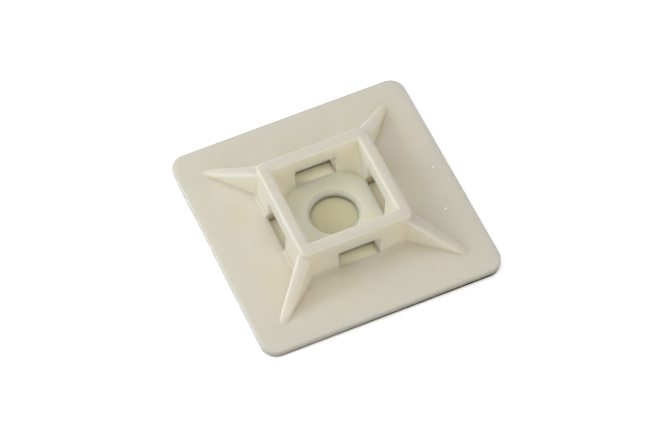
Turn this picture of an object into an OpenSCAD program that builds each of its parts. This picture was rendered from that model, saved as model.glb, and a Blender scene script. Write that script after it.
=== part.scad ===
// Four-way cable tie mount, one nylon moulding.
// The plate lies on the XY plane and the screw hole runs up the Z axis.

/* [Base plate] */
// Side of the square base plate
plate_side = 28; // [27:0.5:34]
// Thickness of the base plate
plate_t = 1; // [0.8:0.05:1.4]
// Radius of the plate's corners, seen from above
plate_corner = 1.8; // [1:0.1:3]
// Radius of the plate's long edges, top and bottom
plate_edge = 0.2; // [0.1:0.05:0.35]

/* [Crown] */
// Side of the crown, measured across its top
crown_side = 13; // [12:0.1:14]
// Height of the crown's top above the underside of the plate
crown_h = 5.2; // [5:0.1:6.5]
// Width of each bar across its top
bar_w = 1.3; // [1.1:0.05:1.6]
// Radius of the bars' top edges
bar_edge = 0.3; // [0.1:0.05:0.45]
// Radius of the crown's outer corners, seen from above
crown_corner = 0.55; // [0.3:0.05:1]
// Draft of the outer walls, in mm for each mm of height
outer_draft = 0.1; // [0.03:0.01:0.12]

/* [Well] */
// Draft of the well's walls, in mm for each mm of height
inner_draft = 0.09; // [0.04:0.01:0.1]
// Radius of the well's corners at its floor, from where they sharpen to the mouth
well_corner = 3; // [2:0.1:3.4]

/* [Tie slots] */
// Width of the slots that a tie runs through
slot_w = 4.9; // [3:0.1:5.6]
// Clear height of the slots above the plate
slot_h = 2.3; // [1.5:0.1:2.6]
// Radius of the slots' upper corners
slot_corner = 0.35; // [0.1:0.05:0.6]

/* [Screw hole] */
// Diameter of the screw hole
hole_d = 5.3; // [3:0.1:5.8]
// Width of the bevel round the top of the hole
bevel_w = 0.38; // [0.1:0.02:0.6]
// Depth of the bevel
bevel_depth = 0.5; // [0.1:0.05:0.6]

/* [Corner webs] */
// Height of a web's top where it leaves the crown's walls
web_h = 4.65; // [3.5:0.05:4.7]
// Width of a web's top at the crown
web_top_w = 1.5; // [1.2:0.05:1.8]
// Width of a web at its tip
web_tip_w = 1; // [0.9:0.05:1.2]
// Distance along X and along Y from the middle of the plate to a web's tip
web_reach = 10.9; // [10:0.1:11.6]
// Draft of a web's flanks, in mm for each mm of height
web_draft = 0.11; // [0.05:0.01:0.15]
// Radius of a web's top edges
web_edge = 0.4; // [0.1:0.05:0.4]
// Radius of the fillet where webs and walls meet the plate
foot_fillet = 0.45; // [0.2:0.05:0.6]

/* [Hidden] */
$fn = 96;
edge_fn = 32;
nylon = [0.86, 0.84, 0.76];

// How far solids reach into the plate they stand on, and cuts run past a face
sink = 0.1;
over = 1;

half_plate = plate_side / 2;
half_crown = crown_side / 2;
half_well = half_crown - bar_w;
wall_h = crown_h - plate_t;
foot_half = half_crown + outer_draft * wall_h;
floor_half = half_well - inner_draft * wall_h;

// A web is drawn along +X and turned onto a diagonal of the plate
web_start = half_crown * sqrt(2) - web_top_w / 2;
web_root = web_start - 0.6;
web_end = web_reach * sqrt(2);
web_run = web_end - web_start;
web_rise = web_h - plate_t;
web_length = norm([web_run, web_rise]);
web_slope = atan2(web_rise, web_run);
web_taper = atan2((web_top_w - web_tip_w) / 2, web_length);

// Line on the plate where a web's flank lands, and the flank's draft across it
flank_out = web_draft / cos(web_taper) * cos(web_slope) - tan(web_taper) * sin(web_slope);
foot_turn = atan2((web_top_w - web_tip_w) / 2 + flank_out * web_rise, web_run);
foot_draft = flank_out * cos(foot_turn);
foot_length = (web_end - web_root) / cos(foot_turn);
edge_landing = web_edge / sin(web_slope);

// ------------------------------------------------------------------ sections

// Direction from a wall with some draft straight out into the air
function wall_normal(draft) = [1, draft] / norm([1, draft]);

// Centre of a rounding of radius r where a drafted wall meets a level top at
// the origin, and of a fillet where it meets a level floor at the origin
function rounding_centre(r, draft) = [r * (draft - norm([1, draft])), -r];
function fillet_centre(r, draft) = [r * (norm([1, draft]) - draft), r];

// Solid below a level top that ends at the origin in a rounded edge and a
// drafted wall; it reaches back by width and down by depth
module edge_section(width, depth, draft, r) {
  centre = rounding_centre(r, draft);
  polygon([
    [-width, 0],
    [centre.x, 0],
    centre + r * wall_normal(draft),
    [draft * depth, -depth],
    [-width, -depth],
  ]);
  translate(centre) circle(r = r, $fn = edge_fn);
}

// Chamfer between a level floor and a drafted wall that lands at the origin,
// just wide enough for a fillet of radius r to be cut into it
module foot_section(r, draft) {
  centre = fillet_centre(r, draft);
  touch = centre - r * wall_normal(draft);
  polygon([[-sink, -sink], [centre.x, -sink], [centre.x, 0], touch, [-sink, touch.y]]);
}

module fillet_section(r, draft) {
  difference() {
    foot_section(r, draft);
    translate(fillet_centre(r, draft)) circle(r = r, $fn = edge_fn);
  }
}

// Stands a section upright and draws it out along X, from start to end
module along_x(start, end) {
  translate([start, 0, 0]) rotate([90, 0, 90]) linear_extrude(end - start) children();
}

// Square block from height z up, with a rim of the given section: drawn
// straight along the sides and turned round the corners' own axes
module rimmed_block(half, corner, z, h) {
  mid = half - corner;
  translate([-mid, -mid, z]) cube([2 * mid, 2 * mid, h]);
  for (turn = [0 : 90 : 270]) rotate([0, 0, turn]) {
    along_x(-mid, mid) translate([mid, 0]) children();
    translate([mid, mid, 0]) rotate_extrude() intersection() {
      union() children();
      square([half, z + h + over]);
    }
  }
}

// ---------------------------------------------------------------- base plate

module base_plate() {
  rim = plate_corner - plate_edge;
  rimmed_block(half_plate, plate_corner, 0, plate_t) {
    square([rim, plate_t]);
    translate([0, plate_edge]) square([plate_corner, plate_t - 2 * plate_edge]);
    for (z = [plate_edge, plate_t - plate_edge])
      translate([rim, z]) circle(r = plate_edge, $fn = edge_fn);
  }
}

// --------------------------------------------------------------------- crown

module crown_block() {
  depth = wall_h + sink;
  rimmed_block(half_crown, crown_corner, plate_t - sink, depth) {
    translate([crown_corner, crown_h])
      edge_section(crown_corner, depth, outer_draft, bar_edge);
    translate([crown_corner + foot_half - half_crown, plate_t])
      fillet_section(foot_fillet, outer_draft);
  }
}

// Half section of the air in the well, curving away round the mouth's edge
module well_section(mouth_half) {
  difference() {
    translate([0, plate_t - over]) square([mouth_half, wall_h + 2 * over]);
    translate([half_well, crown_h]) mirror([1, 0])
      edge_section(half_well, wall_h + 2 * over, inner_draft, bar_edge);
  }
}

// The well's corners are cones: round at the floor, they open out upwards
// until the drafted walls meet sharply at the mouth
module well() {
  mouth_half = half_well - rounding_centre(bar_edge, inner_draft).x;
  mid = floor_half - well_corner;
  grow = (sqrt(2) * (mouth_half - mid) - well_corner) / wall_h;
  bottom = plate_t - over;
  depth = wall_h + 2 * over;
  intersection() {
    intersection_for (turn = [0, 90]) rotate([0, 0, turn])
      for (side = [0, 1]) mirror([0, side, 0])
        along_x(-half_crown, half_crown) well_section(mouth_half);
    union() {
      translate([-half_crown, -mid, bottom]) cube([crown_side, 2 * mid, depth]);
      translate([-mid, -half_crown, bottom]) cube([2 * mid, crown_side, depth]);
      for (x = [-mid, mid], y = [-mid, mid]) translate([x, y, bottom])
        cylinder(r1 = well_corner - grow * over, r2 = well_corner + grow * (depth - over), h = depth);
    }
  }
}

module tie_slots() {
  for (turn = [0 : 90 : 270]) rotate([0, 0, turn])
    along_x(-half_plate, half_plate) translate([slot_w / 2, plate_t + slot_h])
      edge_section(slot_w / 2, slot_h + over, 0, slot_corner);
}

// Each slot opens down through the plate, so that the mould can draw it from
// below: the window's long faces carry on the drafts of the bar above it
module slot_windows() {
  depth = plate_t + over;
  for (turn = [0 : 90 : 270]) rotate([0, 0, turn])
    translate([0, slot_w / 2, 0]) rotate([90, 0, 0]) linear_extrude(slot_w) polygon([
      [floor_half - inner_draft * depth, -over],
      [floor_half, plate_t],
      [floor_half, plate_t + sink],
      [foot_half, plate_t + sink],
      [foot_half, plate_t],
      [foot_half + outer_draft * depth, -over],
    ]);
}

// --------------------------------------------------------------------- webs

// Fillet along -X, full at its far end and running out to nothing at the
// origin: a chamfer between two planes, hollowed by a cone that touches both
module run_out_fillet(length, r, draft) {
  centre = fillet_centre(r, draft);
  touch = centre - r * wall_normal(draft);
  axis = [-length, centre.x, centre.y];
  lean = atan2(r, norm([length, centre.x]));
  turn = -atan2(centre.x, length);
  tilt = atan2((centre.x - touch.x) * cos(turn), touch.y);
  difference() {
    along_x(-length, 0) foot_section(r, draft);
    rotate([tilt, 0, turn]) translate([-2 * length, 0, -length])
      cube([3 * length, length, 2 * length]);
    rotate([0, acos(axis.z / norm(axis)), atan2(axis.y, axis.x)])
      cylinder(r1 = 0, r2 = (norm(axis) + over) * tan(lean), h = norm(axis) + over);
  }
}

// Everything to one side of a web's flank, with the flank's own top edge and
// foot fillet; a web is what its two sides share
module web_side() {
  translate([web_start, 0, web_h]) rotate([0, web_slope, 0])
    translate([0, web_top_w / 2, 0]) rotate([0, 0, -web_taper])
      along_x(-2, web_length + over) edge_section(3 * web_top_w, web_h, web_draft, web_edge);
  translate([web_end, web_tip_w / 2, plate_t]) rotate([0, 0, -foot_turn])
    translate([-edge_landing, 0, 0])
      run_out_fillet(foot_length - edge_landing, foot_fillet, foot_draft);
}

module web() {
  intersection() {
    web_side();
    mirror([0, 1, 0]) web_side();
    translate([web_root, -half_crown, plate_t - sink])
      cube([web_end - web_root + over, crown_side, wall_h]);
  }
}

// --------------------------------------------------------------------- mount

module screw_hole() {
  translate([0, 0, -over]) cylinder(d = hole_d, h = plate_t + 2 * over);
  translate([0, 0, plate_t - bevel_depth])
    cylinder(d1 = hole_d, d2 = hole_d + 4 * bevel_w, h = 2 * bevel_depth);
}

module mount() {
  color(nylon) difference() {
    union() {
      base_plate();
      difference() {
        union() {
          crown_block();
          for (turn = [45 : 90 : 315]) rotate([0, 0, turn]) web();
        }
        well();
        tie_slots();
      }
    }
    slot_windows();
    screw_hole();
  }
}

mount();
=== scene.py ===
import math

import bmesh
import bpy
from mathutils import Matrix, Vector, noise


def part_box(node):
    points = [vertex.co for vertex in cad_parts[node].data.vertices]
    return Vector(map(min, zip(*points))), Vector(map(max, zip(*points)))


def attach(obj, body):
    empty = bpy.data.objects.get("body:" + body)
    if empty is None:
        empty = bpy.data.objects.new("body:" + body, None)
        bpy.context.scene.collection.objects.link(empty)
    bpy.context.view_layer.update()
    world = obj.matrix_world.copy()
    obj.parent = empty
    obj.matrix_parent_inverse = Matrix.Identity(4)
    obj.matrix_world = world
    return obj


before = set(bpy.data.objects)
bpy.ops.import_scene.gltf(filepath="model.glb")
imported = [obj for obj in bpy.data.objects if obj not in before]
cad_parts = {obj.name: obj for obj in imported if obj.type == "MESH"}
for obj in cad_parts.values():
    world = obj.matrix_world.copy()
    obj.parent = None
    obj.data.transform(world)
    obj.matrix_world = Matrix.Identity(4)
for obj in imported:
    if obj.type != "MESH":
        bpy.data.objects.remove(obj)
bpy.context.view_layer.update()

# ---------------------------------------------------------------------------
# The mount: one injection moulding in natural nylon, with no colour added.
# The resin is milky, so light enters it, spreads and comes out a little
# yellower; the mould leaves a soft sheen and a faintly uneven skin.
# ---------------------------------------------------------------------------
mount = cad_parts["mount"]
plate_edge, _, crown_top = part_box("mount")[1]
PLATE_TOP = 0.001
# Distances from the middle: the foot of the crown's outer walls, where the plate is fully as pale
# as its painted rim light, how far the well's painted light is full, and where it ends
CROWN_FOOT = 0.0068
RIM_START = 0.0138
WELL_INSIDE = 0.0045
BAR_MIDDLE = 0.0056
CLOUD_SIZE = 0.004
CLEAR_RESIN = (0.76, 0.69, 0.50, 1)
MILKY_RESIN = (0.83, 0.75, 0.60, 1)
# Light and shade painted into the nylon's colour: a paler rim and a lighter well painted as lit, tops painted
# darker as shade, and walls painted paler as a glow of light through them
PAINTED_LIGHT_TONES = (("Painted Rim Light", (0.80, 0.722, 0.58, 1)), ("Well", (0.87, 0.81, 0.60, 1)),
              ("Top", (0.70, 0.655, 0.555, 1)), ("Painted Wall Glow", (0.89, 0.845, 0.72, 1)))
GRAIN_SIZE, GRAIN_HEIGHT = 0.00012, 0.0000006
WAVE_SIZE, WAVE_HEIGHT = 0.0022, 0.00002
RELIEF_STRENGTH = 0.35
SHEEN_ROUGHNESS = 0.32
NYLON_IOR = 1.53
# How far light travels inside the resin, and the share of that for red, green and blue
LIGHT_SPREAD = 0.0024
SPREAD_BY_COLOUR = (1.0, 0.95, 0.8)


def new_group(name, inputs, outputs):
    """An empty node group with named sockets, and its input and output nodes."""
    tree = bpy.data.node_groups.new(name, "ShaderNodeTree")
    for socket, kind, value in inputs:
        item = tree.interface.new_socket(socket, in_out="INPUT", socket_type=kind)
        item.default_value = value
    for socket, kind in outputs:
        tree.interface.new_socket(socket, in_out="OUTPUT", socket_type=kind)
    return tree, tree.nodes.new("NodeGroupInput"), tree.nodes.new("NodeGroupOutput")


def feed(tree, socket, value):
    """Links another node's output to a socket, or gives the socket a plain number or colour."""
    if isinstance(value, bpy.types.NodeSocket):
        tree.links.new(value, socket)
    else:
        socket.default_value = value


def reckon(tree, operation, first, second=0.0):
    """One step of arithmetic on two numbers or node outputs."""
    node = tree.nodes.new("ShaderNodeMath")
    node.operation = operation
    feed(tree, node.inputs[0], first)
    feed(tree, node.inputs[1], second)
    return node.outputs["Value"]


def fade(tree, value, low, high):
    """A mask that rises smoothly from 0 at low to 1 at high."""
    node = tree.nodes.new("ShaderNodeMapRange")
    node.interpolation_type = "SMOOTHSTEP"
    feed(tree, node.inputs["Value"], value)
    feed(tree, node.inputs["From Min"], low)
    feed(tree, node.inputs["From Max"], high)
    return node.outputs["Result"]


def lumpiness(tree, position, size, detail, roughness=0.5):
    """Soft noise whose lumps have a size in metres."""
    per_size = tree.nodes.new("ShaderNodeVectorMath")
    per_size.operation = "DIVIDE"
    lumps = tree.nodes.new("ShaderNodeTexNoise")
    lumps.inputs["Scale"].default_value = 1.0
    lumps.inputs["Detail"].default_value = detail
    lumps.inputs["Roughness"].default_value = roughness
    tree.links.new(position, per_size.inputs[0])
    tree.links.new(size, per_size.inputs[1])
    tree.links.new(per_size.outputs["Vector"], lumps.inputs["Vector"])
    return lumps.outputs["Fac"]


def mixed(tree, factor, first, second):
    """A colour between two others, each a node output or a plain colour that may be brighter than white."""
    node = tree.nodes.new("ShaderNodeMix")
    node.data_type = "RGBA"
    node.clamp_result = False
    feed(tree, node.inputs["Factor"], factor)
    feed(tree, node.inputs["A"], first)
    feed(tree, node.inputs["B"], second)
    return node.outputs["Result"]


def laid_tones(tree, ground, masks, zone_tones):
    """A ground colour with one tone after another laid over it, each where its mask is 1."""
    colour = ground
    for zone, tone in zone_tones:
        colour = mixed(tree, masks[zone], colour, tone)
    return colour


def cloudy_resin():
    """Cloudiness inside the resin: a slow drift between two tones of it."""
    clearest, milkiest = 0.35, 0.65
    tree, given, result = new_group(
        "cloudy_resin",
        [("Position", "NodeSocketVector", (0, 0, 0)), ("Cloud Size", "NodeSocketFloat", CLOUD_SIZE),
         ("Clear", "NodeSocketColor", CLEAR_RESIN), ("Milky", "NodeSocketColor", MILKY_RESIN)],
        [("Color", "NodeSocketColor")])
    clouds = lumpiness(tree, given.outputs["Position"], given.outputs["Cloud Size"],
                       detail=3.0, roughness=0.45)
    drift = tree.nodes.new("ShaderNodeMapRange")
    drift.inputs["From Min"].default_value = clearest
    drift.inputs["From Max"].default_value = milkiest
    tree.links.new(clouds, drift.inputs["Value"])
    tone = mixed(tree, drift.outputs["Result"], given.outputs["Clear"], given.outputs["Milky"])
    tree.links.new(tone, result.inputs["Color"])
    return tree


def moulded_skin():
    """Relief of a moulded face: a fine grain, and broad soft waves where the resin shrank."""
    tree, given, result = new_group(
        "moulded_skin",
        [("Position", "NodeSocketVector", (0, 0, 0)),
         ("Grain Size", "NodeSocketFloat", GRAIN_SIZE), ("Grain Height", "NodeSocketFloat", GRAIN_HEIGHT),
         ("Wave Size", "NodeSocketFloat", WAVE_SIZE), ("Wave Height", "NodeSocketFloat", WAVE_HEIGHT)],
        [("Height", "NodeSocketFloat")])
    raised = []
    for relief, detail in (("Grain", 2.0), ("Wave", 0.0)):
        lumps = lumpiness(tree, given.outputs["Position"], given.outputs[relief + " Size"], detail)
        raised.append(reckon(tree, "MULTIPLY", lumps, given.outputs[relief + " Height"]))
    tree.links.new(reckon(tree, "ADD", *raised), result.inputs["Height"])
    return tree


def painted_light_zones():
    """Masks for light and shade painted on the body: a paler rim, a lighter well, darker tops, and walls
    painted paler as if light shone through them.
    """
    # How far up a wall's face and a top's face look, where 1 is straight up
    wall_looks, top_looks = 0.35, 0.9
    # Heights over the plate, by which the walls' painted glow is full, and over which the tops' painted shade
    # sets in
    wall_full = 0.0006
    top_start, top_full = 0.0002, 0.002
    tree, given, result = new_group(
        "painted_light_zones",
        [("Position", "NodeSocketVector", (0, 0, 0)), ("Normal", "NodeSocketVector", (0, 0, 1)),
         ("Plate Top", "NodeSocketFloat", PLATE_TOP), ("Crown Foot", "NodeSocketFloat", CROWN_FOOT),
         ("Rim Start", "NodeSocketFloat", RIM_START), ("Well Inside", "NodeSocketFloat", WELL_INSIDE),
         ("Bar Middle", "NodeSocketFloat", BAR_MIDDLE)],
        [(zone, "NodeSocketFloat") for zone, _ in PAINTED_LIGHT_TONES])
    spot = tree.nodes.new("ShaderNodeSeparateXYZ")
    facing = tree.nodes.new("ShaderNodeSeparateXYZ")
    tree.links.new(given.outputs["Position"], spot.inputs["Vector"])
    tree.links.new(given.outputs["Normal"], facing.inputs["Vector"])
    reach = reckon(tree, "MAXIMUM", *(reckon(tree, "ABSOLUTE", spot.outputs[axis]) for axis in "XY"))
    rise = reckon(tree, "SUBTRACT", spot.outputs["Z"], given.outputs["Plate Top"])
    upward = fade(tree, facing.outputs["Z"], wall_looks, top_looks)
    sideways = reckon(tree, "SUBTRACT", 1.0, upward)
    past_well = fade(tree, reach, given.outputs["Well Inside"], given.outputs["Bar Middle"])
    masks = {
        "Painted Rim Light": fade(tree, reach, given.outputs["Crown Foot"], given.outputs["Rim Start"]),
        "Well": reckon(tree, "SUBTRACT", 1.0, past_well),
        "Top": reckon(tree, "MULTIPLY", fade(tree, rise, top_start, top_full), upward),
        "Painted Wall Glow": reckon(tree, "MULTIPLY", fade(tree, rise, 0.0, wall_full), sideways),
    }
    for zone, mask in masks.items():
        tree.links.new(mask, result.inputs[zone])
    return tree


nylon = bpy.data.materials.new("natural_nylon")
nylon.use_nodes = True
tree = nylon.node_tree
skin_shader = tree.nodes["Principled BSDF"]
place = tree.nodes.new("ShaderNodeTexCoord")
cloud = tree.nodes.new("ShaderNodeGroup")
cloud.node_tree = cloudy_resin()
zones = tree.nodes.new("ShaderNodeGroup")
zones.node_tree = painted_light_zones()
relief = tree.nodes.new("ShaderNodeGroup")
relief.node_tree = moulded_skin()
bump = tree.nodes.new("ShaderNodeBump")
bump.inputs["Strength"].default_value = RELIEF_STRENGTH
bump.inputs["Distance"].default_value = 1.0
for group in (cloud, zones, relief):
    tree.links.new(place.outputs["Object"], group.inputs["Position"])
tree.links.new(place.outputs["Normal"], zones.inputs["Normal"])
# The resin's cloudy colour, with the painted light and shade laid over it
tree.links.new(laid_tones(tree, cloud.outputs["Color"], zones.outputs, PAINTED_LIGHT_TONES),
               skin_shader.inputs["Base Color"])
tree.links.new(relief.outputs["Height"], bump.inputs["Height"])
tree.links.new(bump.outputs["Normal"], skin_shader.inputs["Normal"])
skin_shader.inputs["Roughness"].default_value = SHEEN_ROUGHNESS
skin_shader.inputs["IOR"].default_value = NYLON_IOR
skin_shader.inputs["Subsurface Weight"].default_value = 1.0
skin_shader.inputs["Subsurface Radius"].default_value = SPREAD_BY_COLOUR
skin_shader.inputs["Subsurface Scale"].default_value = LIGHT_SPREAD
mount.data.materials.clear()
mount.data.materials.append(nylon)

# ---------------------------------------------------------------------------
# Flecks: a few grains near the right edge of the plate, pure white so that they show as
# painted glints, and one grain of dark dust on the left bar. Each is a flattened, uneven grain.
# ---------------------------------------------------------------------------
# Each crumb's name, how far it lies in from the plate's right edge and behind the middle, and its radius
GLINT_GRAINS = (("crumb_1", 0.0017, 0.0008, 0.00022), ("crumb_2", 0.0029, -0.0029, 0.00016),
                ("crumb_3", 0.0037, -0.0029, 0.00013), ("crumb_4", 0.0028, -0.0047, 0.00022),
                ("crumb_5", 0.0021, -0.0051, 0.00012))
DUST_X, DUST_Y = -0.0054, 0.0004
DUST_DEPTH = 0.0001              # below the bar's top, on its rounded inner edge
DUST_RADIUS = 0.0001
UNEVENNESS = 0.28
LUMPS_PER_RADIUS = 1.3
NOISE_SPACING = 3000             # takes each grain to its own part of the noise, so that no two are alike
SLENDERNESS, FLATNESS = 0.8, 0.6
SPECKLE_SIZE = 0.00008


def grain(name, centre, radius, material):
    """An uneven flattened grain, half sunk in the face that it sticks to."""
    shape = bmesh.new()
    bmesh.ops.create_icosphere(shape, subdivisions=2, radius=radius)
    for vert in shape.verts:
        lump = noise.noise(vert.co / radius * LUMPS_PER_RADIUS + Vector(centre) * NOISE_SPACING)
        uneven = 1 + UNEVENNESS * lump
        x, y, z = vert.co
        vert.co = Vector((x * uneven, y * uneven * SLENDERNESS, z * uneven * FLATNESS))
    for face in shape.faces:
        face.smooth = True
    mesh = bpy.data.meshes.new(name)
    shape.to_mesh(mesh)
    shape.free()
    mesh.materials.append(material)
    piece = bpy.data.objects.new(name, mesh)
    piece.location = centre
    bpy.context.scene.collection.objects.link(piece)
    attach(piece, "root")
    return piece


def grain_finish(name, pale, deep, roughness):
    """Two tones of one grain, mixed by a fine noise."""
    finish = bpy.data.materials.new(name)
    finish.use_nodes = True
    tree = finish.node_tree
    place = tree.nodes.new("ShaderNodeTexCoord")
    speckle = tree.nodes.new("ShaderNodeGroup")
    speckle.node_tree = cloud.node_tree
    speckle.inputs["Cloud Size"].default_value = SPECKLE_SIZE
    speckle.inputs["Clear"].default_value = deep
    speckle.inputs["Milky"].default_value = pale
    shader = tree.nodes["Principled BSDF"]
    shader.inputs["Roughness"].default_value = roughness
    tree.links.new(place.outputs["Object"], speckle.inputs["Position"])
    tree.links.new(speckle.outputs["Color"], shader.inputs["Base Color"])
    return finish


# Raised grains whose pure white is a painted glint, brighter than the nylon around them
glint_white = grain_finish("glint_white", pale=(1.0, 1.0, 0.98, 1), deep=(0.92, 0.91, 0.86, 1),
                           roughness=0.25)
dark_dust = grain_finish("dark_dust", pale=(0.16, 0.14, 0.10, 1), deep=(0.09, 0.08, 0.06, 1),
                         roughness=0.8)
for name, from_edge, behind, radius in GLINT_GRAINS:
    grain(name, (plate_edge - from_edge, behind, PLATE_TOP), radius, glint_white)
grain("dust", (DUST_X, DUST_Y, crown_top - DUST_DEPTH), DUST_RADIUS, dark_dust)

# ---------------------------------------------------------------------------
# Floor: plain white paper that falls away a little towards the front right, so that the
# plate stands over a thin gap there. Under the plate it has painted shade: dark under the
# outline, yellowish where only the tie slots and the screw hole show it.
# ---------------------------------------------------------------------------
FLOOR_SIZE = 1.2
DIP = 0.00019                    # how far the paper lies below the middle of the plate
FALL_X, FALL_Y = -0.0085, 0.0035
UNDERCUT = 0.0001                # how far inside the plate's edge the painted shadow under the plate ends
PLATE_CORNER = 0.0018
# Distances from the middle, within which the paper under the slots' windows and the hole gets its painted
# shade
SLOT_REACH = 0.0075
HOLE_REACH = 0.0035
OPEN_PAPER = (1.9, 1.9, 1.9, 1)
# Painted shade on the paper: dark under the plate's outline, and yellowish under the slots' windows and the
# hole
PAINTED_PAPER_SHADE = (("Painted Shadow Under Plate", (0.12, 0.11, 0.08, 1)), ("Painted Shade Under Slots", (1.02, 0.97, 0.73, 1)),
                 ("Painted Shade Under Hole", (0.69, 0.64, 0.43, 1)))
PAPER_AS_LIT = (0.13, 0.13, 0.12, 1)     # for the rays that carry light from the paper to the mount

half = FLOOR_SIZE / 2
floor_mesh = bpy.data.meshes.new("floor")
floor_mesh.from_pydata([(x, y, FALL_X * x + FALL_Y * y - DIP)
                        for x, y in ((-half, -half), (half, -half), (half, half), (-half, half))],
                       [], [(0, 1, 2, 3)])
floor = bpy.data.objects.new("floor", floor_mesh)
bpy.context.scene.collection.objects.link(floor)


def painted_paper_masks():
    """Masks for the shade painted on the paper: under the plate's outline, under the tie slots and under the
    screw hole.
    """
    tree, given, result = new_group(
        "painted_paper_masks",
        [("Position", "NodeSocketVector", (0, 0, 0)),
         ("Plate Reach", "NodeSocketFloat", plate_edge - UNDERCUT),
         ("Plate Corner", "NodeSocketFloat", PLATE_CORNER),
         ("Slot Reach", "NodeSocketFloat", SLOT_REACH), ("Hole Reach", "NodeSocketFloat", HOLE_REACH)],
        [(zone, "NodeSocketFloat") for zone, _ in PAINTED_PAPER_SHADE])
    spot = tree.nodes.new("ShaderNodeSeparateXYZ")
    tree.links.new(given.outputs["Position"], spot.inputs["Vector"])
    across = [reckon(tree, "ABSOLUTE", spot.outputs[axis]) for axis in "XY"]
    reach = reckon(tree, "MAXIMUM", *across)
    straight = reckon(tree, "SUBTRACT", given.outputs["Plate Reach"], given.outputs["Plate Corner"])
    past = [reckon(tree, "MAXIMUM", reckon(tree, "SUBTRACT", distance, straight)) for distance in across]
    squares = [reckon(tree, "MULTIPLY", distance, distance) for distance in past]
    from_corner = reckon(tree, "SQRT", reckon(tree, "ADD", *squares))
    masks = {
        "Painted Shadow Under Plate": reckon(tree, "LESS_THAN", from_corner, given.outputs["Plate Corner"]),
        "Painted Shade Under Slots": reckon(tree, "LESS_THAN", reach, given.outputs["Slot Reach"]),
        "Painted Shade Under Hole": reckon(tree, "LESS_THAN", reach, given.outputs["Hole Reach"]),
    }
    for zone, mask in masks.items():
        tree.links.new(mask, result.inputs[zone])
    return tree


def looked_at(tree, rays):
    """1 for rays that look at a backdrop, straight or in gloss or glass, and 0 for those that carry light."""
    in_gloss_or_glass = reckon(tree, "MAXIMUM", rays["Is Glossy Ray"], rays["Is Transmission Ray"])
    return reckon(tree, "MAXIMUM", rays["Is Camera Ray"], in_gloss_or_glass)


paper = bpy.data.materials.new("white_paper")
paper.use_nodes = True
tree = paper.node_tree
tree.nodes.clear()
rays = tree.nodes.new("ShaderNodeLightPath").outputs
ground = tree.nodes.new("ShaderNodeTexCoord")
cover = tree.nodes.new("ShaderNodeGroup")
cover.node_tree = painted_paper_masks()
matt = tree.nodes.new("ShaderNodeBsdfDiffuse")
side = tree.nodes.new("ShaderNodeNewGeometry")
clear = tree.nodes.new("ShaderNodeBsdfTransparent")
pick = tree.nodes.new("ShaderNodeMixShader")
surface = tree.nodes.new("ShaderNodeOutputMaterial")
tree.links.new(ground.outputs["Object"], cover.inputs["Position"])
# The paper as the camera sees it: open white, with the painted shade laid over it
paper_seen_with_shade = laid_tones(tree, OPEN_PAPER, cover.outputs, PAINTED_PAPER_SHADE)
tree.links.new(mixed(tree, looked_at(tree, rays), PAPER_AS_LIT, paper_seen_with_shade), matt.inputs["Color"])
# From below the paper is clear, so that the underside of the mount shows
from_below = reckon(tree, "MULTIPLY", side.outputs["Backfacing"], rays["Is Camera Ray"])
tree.links.new(from_below, pick.inputs["Fac"])
tree.links.new(matt.outputs["BSDF"], pick.inputs[1])
tree.links.new(clear.outputs["BSDF"], pick.inputs[2])
tree.links.new(pick.outputs["Shader"], surface.inputs["Surface"])
floor_mesh.materials.append(paper)

# ---------------------------------------------------------------------------
# Light: a soft box at the back left with a small cool one beside it, a wide one
# overhead and a wide, slightly warm one in front, in an evenly pale room.
# ---------------------------------------------------------------------------
WHITE = (1, 1, 1, 1)
ROOM_LIGHT = 0.365
BACKDROP_LIGHT = 1.0

room = bpy.data.worlds.new("room")
room.use_nodes = True
bpy.context.scene.world = room
tree = room.node_tree
tree.nodes.clear()
rays = tree.nodes.new("ShaderNodeLightPath").outputs
ambient = tree.nodes.new("ShaderNodeBackground")
ambient.inputs["Color"].default_value = WHITE
ambient.inputs["Strength"].default_value = ROOM_LIGHT
backdrop = tree.nodes.new("ShaderNodeBackground")
backdrop.inputs["Color"].default_value = WHITE
backdrop.inputs["Strength"].default_value = BACKDROP_LIGHT
pick = tree.nodes.new("ShaderNodeMixShader")
sky = tree.nodes.new("ShaderNodeOutputWorld")
tree.links.new(looked_at(tree, rays), pick.inputs["Fac"])
tree.links.new(ambient.outputs["Background"], pick.inputs[1])
tree.links.new(backdrop.outputs["Background"], pick.inputs[2])
tree.links.new(pick.outputs["Shader"], sky.inputs["Surface"])


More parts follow.
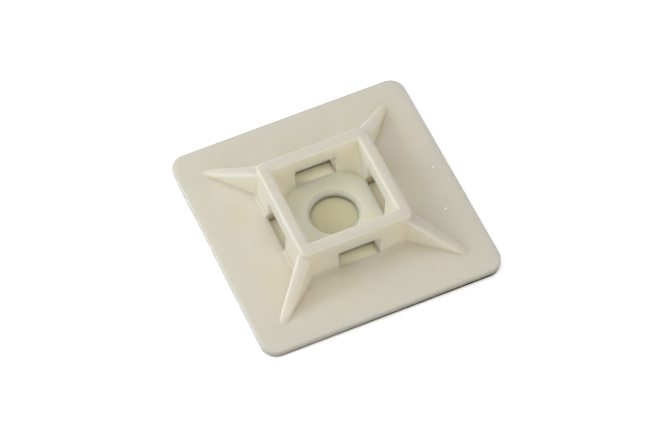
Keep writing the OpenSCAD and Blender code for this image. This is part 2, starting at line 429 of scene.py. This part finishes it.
def soft_box(name, toward, distance, size, power, tint=(1, 1, 1)):
    """A square soft box, at a distance from the mount and facing it."""
    data = bpy.data.lights.new(name, "AREA")
    data.shape = "SQUARE"
    data.size = size
    data.energy = power
    data.color = tint
    lamp = bpy.data.objects.new(name, data)
    bpy.context.scene.collection.objects.link(lamp)
    way = Vector(toward).normalized()
    lamp.location = way * distance
    lamp.rotation_euler = way.to_track_quat("Z", "Y").to_euler()


soft_box("key", toward=(-1.12, 0.75, 1.0), distance=0.35, size=0.13, power=0.335, tint=(0.93, 0.97, 1.0))
soft_box("window", toward=(-1, 0.45, 0.9), distance=0.10, size=0.10, power=0.022, tint=(0.88, 0.94, 1.0))
soft_box("overhead", toward=(0, 0, 1), distance=0.5, size=0.5, power=0.53)
soft_box("front_fill", toward=(0, -1, 0.6), distance=0.5, size=0.5, power=0.47, tint=(1.0, 0.97, 0.88))

# ---------------------------------------------------------------------------
# Camera: a long lens, looking down on the mount from the front left and tilted
# a little to one side.
# ---------------------------------------------------------------------------
FOCAL_LENGTH, FILM_WIDTH = 164.4, 36.0       # in millimetres, as lenses are named
TURN, RISE, TILT = (math.radians(angle) for angle in (-21.78, 55.50, -2.40))
DISTANCE = 0.3236
AIM = Vector((-0.00093, 0.00045, 0.0))
NEAREST, FARTHEST = 0.01, 10

back = Vector((math.sin(TURN) * math.cos(RISE), -math.cos(TURN) * math.cos(RISE), math.sin(RISE)))
level = Vector((math.cos(TURN), math.sin(TURN), 0))
upright = back.cross(level)
right = level * math.cos(TILT) + upright * math.sin(TILT)
up = upright * math.cos(TILT) - level * math.sin(TILT)
lens = bpy.data.cameras.new("camera")
lens.lens = FOCAL_LENGTH
lens.sensor_width = FILM_WIDTH
lens.clip_start = NEAREST
lens.clip_end = FARTHEST
camera = bpy.data.objects.new("camera", lens)
bpy.context.scene.collection.objects.link(camera)
camera.matrix_world = (Matrix.Translation(AIM + back * DISTANCE)
                       @ Matrix((right, up, back)).transposed().to_4x4())
bpy.context.scene.camera = camera

bpy.context.scene.view_settings.view_transform = "Standard"
